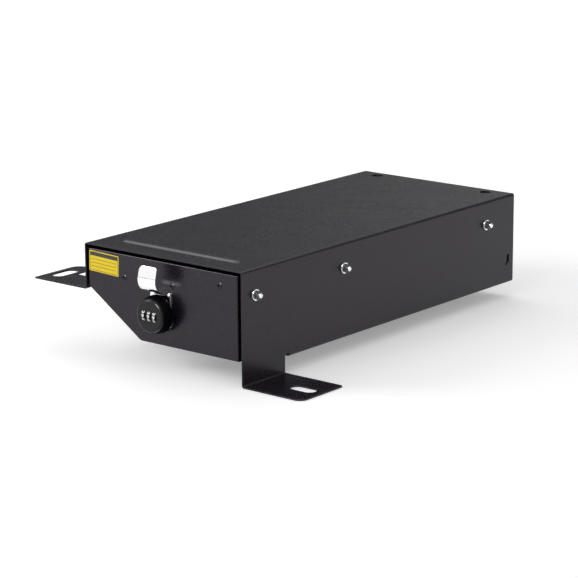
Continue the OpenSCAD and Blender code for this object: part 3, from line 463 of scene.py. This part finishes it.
def tip_profile(crest, tip):
    """A stud's bare end: a short straight stretch and a dome."""
    straight_end = crest + TIP_STRAIGHT
    dome_h = tip - straight_end
    dome = [(straight_end + dome_h * math.sin(t), STUD_R * math.cos(t)) for t in quarter_turn(10, 1, 9)]
    return [(crest, STUD_R), (straight_end, STUD_R), *dome, (tip, TIP_FLAT_R)]


def thread_at(crest):
    """The radius at each place of a thread that fades out towards crest."""
    def radius_at(along, radius, a):
        turn = (along / THREAD_PITCH - a / (2 * math.pi)) % 1
        fade = min(1, max(0, (crest - along) / THREAD_FADE))
        return radius - THREAD_DEPTH * fade * (1 - abs(2 * turn - 1))

    return radius_at


def seat_profile(thickness, outer_r):
    """A flanged seat: a narrow slope at the wall, a side, and a round over to its face."""
    side_end = thickness - SEAT_ROUND
    face_r = outer_r - SEAT_ROUND
    rounded = [(side_end + SEAT_ROUND * math.sin(t), face_r + SEAT_ROUND * math.cos(t))
               for t in quarter_turn(5, 0, 5)]
    return [(0, STUD_R), (0, outer_r - SEAT_ROUND / 2), (SEAT_ROUND / 2, outer_r),
            *rounded, (thickness, STUD_R)]


def hexagon_at(start, height, flat_r):
    """The radius at each place of a hexagon with its corners chamfered at both ends."""
    sixth = math.pi / 3
    corner_r = flat_r / math.cos(sixth / 2)

    def radius_at(along, radius, a):
        from_flat = (a + sixth / 2) % sixth - sixth / 2
        from_end = min(along - start, start + height - along)
        return min(flat_r / math.cos(from_flat), radius + from_end / math.tan(NUT_CHAMFER), corner_r)

    return radius_at


def wall_fasteners():
    """Threaded stud ends, flanged seats and hex nuts on both walls."""
    studs, threads, seats, nuts = Shape(), Shape(), Shape(), Shape()
    boxes = zip(solid_boxes("housing_screws"), solid_boxes("housing_nuts"), solid_boxes("housing_washers"))
    for (low, high), (nut_low, nut_high), (seat_low, seat_high) in boxes:
        middle = (nut_low + nut_high) / 2
        out = 1 if middle.x > 0 else -1
        wall = seat_low.x if out > 0 else seat_high.x
        place = (Vector((wall, middle.y, middle.z)), Vector((out, 0, 0)), Vector((0, 1, 0)))

        tip = abs((high.x if out > 0 else low.x) - wall)
        foot = -abs((low.x if out > 0 else high.x) - wall)
        crest = tip - TIP_LEN
        thread = [(crest * i / THREAD_RINGS, STUD_R) for i in range(THREAD_RINGS + 1)]
        studs.rings(turned(*place, head_profile(foot, (high.z - low.z) / 2), STUD_STEPS))
        threads.rings(turned(*place, thread, STUD_STEPS, thread_at(crest)))
        studs.rings(turned(*place, tip_profile(crest, tip), STUD_STEPS))

        seat_t = seat_high.x - seat_low.x
        seat = seat_profile(seat_t, (seat_high.z - seat_low.z) / 2)
        seats.rings(turned(*place, seat, SEAT_STEPS), closed_ends=False)

        nut_h = nut_high.x - nut_low.x
        flat_r = min(nut_high.z - nut_low.z, nut_high.y - nut_low.y) / 2
        nut = [(seat_t + nut_h * share, flat_r * NUT_FACE_SHARE) for share in NUT_RINGS]
        nuts.rings(turned(*place, nut, NUT_STEPS, hexagon_at(seat_t, nut_h, flat_r)))
    steel = MATERIALS["polished_steel"]
    new_piece("wall_studs", studs, steel, "housing", ["housing_screws"])
    new_piece("stud_threads", threads, DARK_ZINC, "housing")
    new_piece("wall_seats", seats, steel, "housing", ["housing_washers"])
    new_piece("wall_nuts", nuts, DARK_ZINC, "housing", ["housing_nuts"])


# The lock's knob and number wheels
def knob_grip():
    """A matt band with fine lengthwise ribs round the knob's side, from its rim to its face."""
    face_step = 2.9 * MM
    straight_from_rim = 4.4 * MM
    band_from_face = 2.7 * MM
    band_from_rim = 0.9 * MM
    lead_in = 0.3 * MM
    proud = 0.02 * MM
    sunk = 0.05 * MM
    ribs = 96
    steps_per_rib = 4
    rib_h = 0.16 * MM

    low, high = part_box("lock_knob")
    centre = (low + high) / 2
    length = high.y - low.y
    rim_r = (high.z - low.z) / 2
    face_r = rim_r - face_step
    taper_end = length - straight_from_rim
    slope = face_step / taper_end
    start, end = band_from_face, length - band_from_rim
    profile = []
    for along in (start, start + lead_in, taper_end, end - lead_in, end):
        radius = min(rim_r, face_r + along * slope)
        profile.append((along, radius - sunk if along in (start, end) else radius + proud))

    def ribbed(along, radius, a):
        if along in (start, end):
            return radius
        return radius + rib_h * (0.5 - 0.5 * math.cos(ribs * a))

    front = Vector((centre.x, low.y, centre.z))
    grip = Shape()
    grip.rings(turned(front, Vector((0, 1, 0)), Vector((1, 0, 0)), profile, ribs * steps_per_rib, ribbed),
               closed_ends=False)
    new_piece("knob_grip", grip, KNOB_RUBBER, "lock_core")


def digit_outline(text, height):
    """A number's shape as a flat mesh: its vertices round (0, 0), height tall, and its faces."""
    steps_per_curve = 6
    bolder = 0.03
    curve = bpy.data.curves.new("digit", "FONT")
    curve.body = text
    curve.align_x = "CENTER"
    curve.align_y = "CENTER"
    curve.resolution_u = steps_per_curve
    curve.offset = bolder
    words = bpy.data.objects.new("digit", curve)
    bpy.context.scene.collection.objects.link(words)
    bpy.context.view_layer.update()
    mesh = bpy.data.meshes.new_from_object(words)
    bpy.data.objects.remove(words)
    xs = [v.co.x for v in mesh.vertices]
    ys = [v.co.y for v in mesh.vertices]
    scale = height / (max(ys) - min(ys))
    middle = Vector(((max(xs) + min(xs)) / 2, (max(ys) + min(ys)) / 2, 0))
    verts = [(v.co - middle) * scale for v in mesh.vertices]
    faces = [list(p.vertices) for p in mesh.polygons]
    bpy.data.meshes.remove(mesh)
    return verts, faces


def wheel_numbers():
    """White numbers wrapped round each number wheel, with one in the middle of its window."""
    height = 3.5 * MM
    widen = 1.4
    ink = 0.02 * MM
    count = 10
    shown = 9
    outlines = [digit_outline(str(n), height) for n in range(count)]
    for side in ("left", "middle", "right"):
        low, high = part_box("number_wheel_" + side)
        centre = (low + high) / 2
        radius = (high.z - low.z) / 2 + ink
        numbers = Shape()
        for n, (verts, faces) in enumerate(outlines):
            wrapped = []
            for v in verts:
                a = 2 * math.pi * (n - shown) / count + v.y / radius
                wrapped.append(centre + Vector((v.x * widen, -radius * math.cos(a), radius * math.sin(a))))
            numbers.add(wrapped, faces)
        new_piece(f"numbers_{side}", numbers, WHITE_INK, f"{side}_wheel")


# The label
def rounded_outline(x0, x1, z0, z1, r):
    """Corner points of a rounded rectangle, turning left."""
    steps = 6
    points = []
    for cx, cz, start in ((x1 - r, z0 + r, -90), (x1 - r, z1 - r, 0), (x0 + r, z1 - r, 90),
                          (x0 + r, z0 + r, 180)):
        for i in range(steps + 1):
            a = math.radians(start + 90 * i / steps)
            points.append((cx + r * math.cos(a), cz + r * math.sin(a)))
    return points


def label():
    """The blank write-on label: a thin vinyl plate with a printed border and ruled lines."""
    corner_r = 1.2 * MM
    soft_edge = 0.05 * MM
    ink = 0.015 * MM
    border_in = 1.0 * MM
    border_w = 0.45 * MM
    border_outer_r = 0.8 * MM
    border_inner_r = 0.4 * MM
    band_h = 3.4 * MM
    line_h = 0.4 * MM
    line_in = 1.6 * MM
    rows = 4

    corners = [v.co for v in frame["nodes"]["blank_label"].data.vertices]
    lower_left = min(corners, key=lambda c: (round(c.x, 6), -c.y))
    lower_right = min(corners, key=lambda c: (round(c.z, 6), -c.y))
    upper_left = max(corners, key=lambda c: (round(c.z, 6), c.y))
    across, up = lower_right - lower_left, upper_left - lower_left
    width, height = across.length, up.length
    across.normalize()
    up.normalize()
    low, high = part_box("blank_label")
    thickness = high.y - low.y
    origin = Vector((lower_left.x, high.y, lower_left.z))

    def at(u, v, out):
        return origin + u * across + v * up - Vector((0, out, 0))

    plate = Shape()
    rings = []
    for out, inset in ((0, 0), (thickness - soft_edge, 0), (thickness, soft_edge)):
        points = rounded_outline(inset, width - inset, inset, height - inset, corner_r - inset)
        rings.append([at(u, v, out) for u, v in points])
    plate.rings(rings)
    new_piece("write_on_label", plate, MATERIALS["yellow_label"], "drawer",
              ["blank_label"])

    ink_out = thickness + ink
    inner_in = border_in + border_w
    outer = rounded_outline(border_in, width - border_in, border_in, height - border_in, border_outer_r)
    inner = rounded_outline(inner_in, width - inner_in, inner_in, height - inner_in, border_inner_r)
    count = len(outer)
    faces = [[i, (i + 1) % count, count + (i + 1) % count, count + i] for i in range(count)]
    printed = Shape()
    printed.add([at(u, v, ink_out) for u, v in outer + inner], faces)
    band_low = height - inner_in - band_h
    bars = [(band_low, height - inner_in, inner_in)]
    for i in range(1, rows):
        v = inner_in + (band_low - inner_in) * i / rows
        bars.append((v, v + line_h, inner_in + line_in))
    for v0, v1, inset in bars:
        points = [(inset, v0), (width - inset, v0), (width - inset, v1), (inset, v1)]
        printed.add([at(u, v, ink_out) for u, v in points], [[0, 1, 2, 3]])
    new_piece("label_print", printed, BLACK_INK, "drawer")


# Stage, lights and camera
def seen_directly(tree):
    """1 for what the camera, a reflection or a transparent piece shows, and 0 for light on the object."""
    path = tree.nodes.new("ShaderNodeLightPath")
    seen = path.outputs["Is Camera Ray"]
    for name in ("Is Glossy Ray", "Is Transmission Ray"):
        either = tree.nodes.new("ShaderNodeMath")
        either.operation = "MAXIMUM"
        tree.links.new(seen, either.inputs[0])
        tree.links.new(path.outputs[name], either.inputs[1])
        seen = either.outputs["Value"]
    return seen


def flat_sheet(name, corners, material):
    mesh = bpy.data.meshes.new(name)
    mesh.from_pydata(corners, [], [(0, 1, 2, 3)])
    sheet = bpy.data.objects.new(name, mesh)
    bpy.context.scene.collection.objects.link(sheet)
    paint(sheet, material)
    return sheet


def add_floor():
    """A matt white floor with a soft glow, which keeps the object's shadow."""
    half = 20.0
    under = -0.2 * MM
    glow = 0.28
    far_glow = 0.2
    near, far = 0.9, 2.6
    coat = Paint("floor_white", (0.93, 0.93, 0.93), 0.9, specular=0.0)
    coat.shader.inputs["Emission Color"].default_value = (1, 1, 1, 1)
    # Far from the object, where less lamp light falls, the camera sees a little more glow
    away = coat.add("ShaderNodeVectorMath", {0: coat.place}, operation="LENGTH").outputs["Value"]
    to_camera = coat.add("ShaderNodeLightPath").outputs["Is Camera Ray"]
    extra = coat.math("MULTIPLY", coat.spread(away, near, far, 0.0, far_glow), to_camera)
    strength = coat.math("ADD", extra, coat.math("MULTIPLY", seen_directly(coat.tree), glow))
    coat.tree.links.new(strength, coat.shader.inputs["Emission Strength"])
    floor = flat_sheet("floor", [(-half, -half, under), (half, -half, under), (half, half, under),
                                 (-half, half, under)], coat.material)


def add_world():
    """White from just above the horizon and grey below it, and dimmer where it lights the object."""
    grey = (0.55, 0.55, 0.55, 1)
    white = (1, 1, 1, 1)
    grey_up_to, white_from = 0.075, 0.1
    lit_strength = 0.5
    seen_strength = 1.0
    world = bpy.data.worlds.new("studio")
    bpy.context.scene.world = world
    world.use_nodes = True
    tree = world.node_tree
    light = tree.nodes["Background"]
    strength = tree.nodes.new("ShaderNodeMapRange")
    strength.inputs["To Min"].default_value = lit_strength
    strength.inputs["To Max"].default_value = seen_strength
    place = tree.nodes.new("ShaderNodeTexCoord")
    height = tree.nodes.new("ShaderNodeSeparateXYZ")
    horizon = tree.nodes.new("ShaderNodeValToRGB")
    stops = horizon.color_ramp.elements
    stops[0].color = grey
    stops[1].color = white
    stops[1].position = white_from
    stops.new(grey_up_to).color = grey
    tree.links.new(place.outputs["Generated"], height.inputs["Vector"])
    tree.links.new(height.outputs["Z"], horizon.inputs["Fac"])
    tree.links.new(horizon.outputs["Color"], light.inputs["Color"])
    tree.links.new(seen_directly(tree), strength.inputs["Value"])
    tree.links.new(strength.outputs["Result"], light.inputs["Strength"])


def add_rear_card():
    """A card behind the object, from grey to light grey, which only reflections see."""
    left, right, behind = -3.2, 2.2, 2.2
    bottom, top = 0.05, 2.0
    coat = Paint("card_grey", (0.42, 0.42, 0.42), 0.9, specular=0.0)
    coat.set_color(coat.spread(coat.split(coat.place)[0], -2.0, -1.2, 0.23, 0.42))
    card = flat_sheet("rear_card", [(left, behind, bottom), (right, behind, bottom), (right, behind, top),
                                    (left, behind, top)], coat.material)
    card.visible_camera = False
    card.visible_diffuse = False
    card.visible_shadow = False


def add_softbox(name, place, target, size, power, highlights_only):
    light = bpy.data.lights.new(name, "AREA")
    light.shape = "RECTANGLE"
    light.size, light.size_y = size
    light.energy = power
    lamp = bpy.data.objects.new(name, light)
    bpy.context.scene.collection.objects.link(lamp)
    lamp.location = place
    lamp.rotation_mode = "QUATERNION"
    lamp.rotation_quaternion = (Vector(target) - Vector(place)).to_track_quat("-Z", "Y")
    lamp.visible_diffuse = not highlights_only


def add_camera():
    forward = Vector((-math.sin(CAMERA_AZIMUTH) * math.cos(CAMERA_ELEVATION),
                      math.cos(CAMERA_AZIMUTH) * math.cos(CAMERA_ELEVATION),
                      -math.sin(CAMERA_ELEVATION)))
    level = Vector((math.cos(CAMERA_AZIMUTH), math.sin(CAMERA_AZIMUTH), 0))
    upright = level.cross(forward)
    right = math.cos(CAMERA_ROLL) * level + math.sin(CAMERA_ROLL) * upright
    up = math.cos(CAMERA_ROLL) * upright - math.sin(CAMERA_ROLL) * level
    data = bpy.data.cameras.new("camera")
    data.sensor_width = SENSOR
    data.lens = LENS
    data.clip_end = SEEN_TO
    camera = bpy.data.objects.new("camera", data)
    bpy.context.scene.collection.objects.link(camera)
    turn = Matrix((right, up, -forward)).transposed().to_4x4()
    camera.matrix_world = Matrix.Translation(CAMERA_PLACE) @ turn
    bpy.context.scene.camera = camera


dress_cad_pieces()
wall_fasteners()
knob_grip()
wheel_numbers()
label()
add_floor()
add_world()
add_rear_card()
for lamp in LAMPS:
    add_softbox(*lamp)
add_camera()
bpy.context.scene.view_settings.view_transform = "Standard"
